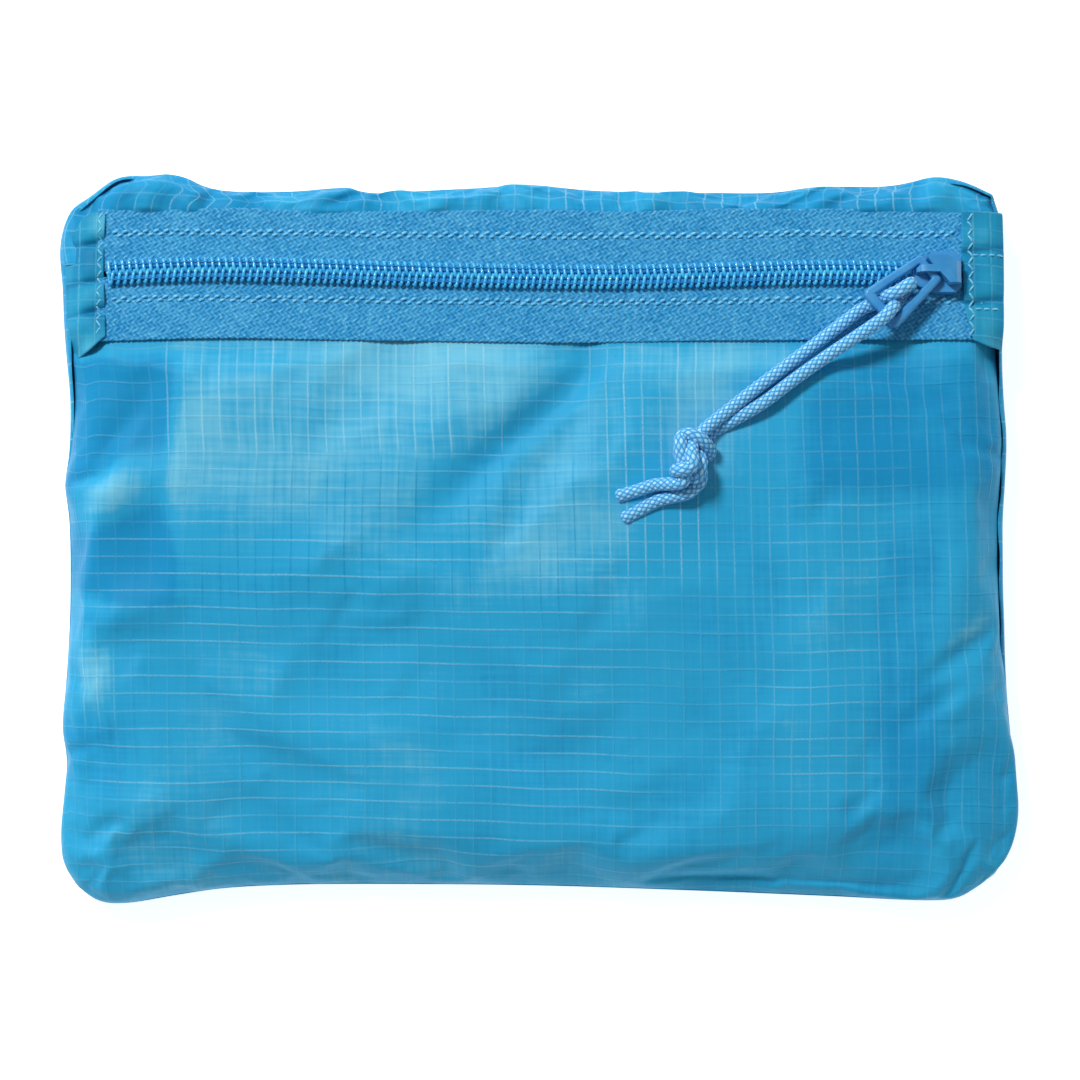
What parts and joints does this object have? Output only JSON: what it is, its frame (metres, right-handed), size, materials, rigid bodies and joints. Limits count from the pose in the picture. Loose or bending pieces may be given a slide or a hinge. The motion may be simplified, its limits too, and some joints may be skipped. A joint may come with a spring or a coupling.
{
  "type": "foldable tote bag",
  "caption": "Ripstop tote bag folded flat inside its own zip pouch, with a coil zipper, an auto-lock slider and a knotted pull cord.",
  "frame": {"origin": "middle of the pouch's outline, on the surface that its back lies on", "axes": "+X along the zipper towards its closed end, +Y from the bottom fold to the zipper side, +Z out of the front panel"},
  "size_m": [0.232, 0.176, 0.0272],
  "materials": {
    "ripstop_shell": "thin glossy coated ripstop nylon, azure",
    "ripstop_tote": "thin ripstop nylon, azure",
    "binding_tape": "folded ripstop binding",
    "strap_webbing": "woven nylon strap",
    "zipper_tape": "woven polyester tape, matte",
    "zipper_coil": "nylon monofilament",
    "sewing_thread": "polyester thread",
    "painted_slider": "satin enamel, blue",
    "spring_steel": "plain spring steel",
    "braided_cord": "braided polyester cord, pale blue"
  },
  "bodies": {
    "root": {"pouch_front_panel": "ripstop_shell", "pouch_back_panel": "ripstop_shell", "pouch_top_band": "ripstop_shell", "seam_binding_left": "binding_tape", "seam_binding_right": "binding_tape", "tote_back_panel": "ripstop_tote", "tote_front_panel": "ripstop_tote", "tote_base_gusset": "ripstop_tote", "tote_hem_front": "binding_tape", "tote_hem_back": "binding_tape", "tote_strap_back": "strap_webbing", "tote_strap_front": "strap_webbing", "zipper_tape_lower": "zipper_tape", "zipper_tape_upper": "zipper_tape", "zipper_coil_lower": "zipper_coil", "zipper_coil_upper": "zipper_coil", "topstitch_lower": "sewing_thread", "topstitch_upper": "sewing_thread", "end_tab_left": "ripstop_shell", "end_tab_right": "ripstop_shell", "tab_stitch_left": "sewing_thread", "tab_stitch_right": "sewing_thread"},
    "slider": {"slider_body": "painted_slider", "slider_cap": "painted_slider"},
    "lock_pawl": {"lock_pawl": "spring_steel"},
    "puller": {"puller_frame": "painted_slider", "pull_cord_bight": "braided_cord"},
    "pull_cord": {"pull_cord_strand_a": "braided_cord", "pull_cord_strand_b": "braided_cord", "pull_cord_knot": "braided_cord", "pull_cord_tail_a": "braided_cord", "pull_cord_tail_b": "braided_cord"}
  },
  "joints": [
    {"name": "slider_travel", "type": "slide", "parent": "root", "child": "slider", "axis": [-1, 0, 0], "range_m": [0, 0.19]},
    {"name": "puller_lift", "type": "hinge", "parent": "slider", "child": "puller", "pos_m": [0.0924, 0.06442, 0.01831], "axis": [-0.6481, 0.7541, -0.106], "range_deg": [0, 90]},
    {"name": "lock_pawl_rock", "type": "hinge", "parent": "slider", "child": "lock_pawl", "pos_m": [0.099, 0.06406, 0.01786], "axis": [0, 0.9903, -0.1392], "range_deg": [0, 6.1]},
    {"name": "cord_swing", "type": "hinge", "parent": "puller", "child": "pull_cord", "pos_m": [0.07773, 0.05338, 0.02376], "axis": [-0.6481, 0.7541, -0.106], "range_deg": [0, 60]}
  ],
  "couplings": [
    {"joint": "lock_pawl_rock", "follows": "puller_lift", "ratio": 0.0667}
  ]
}
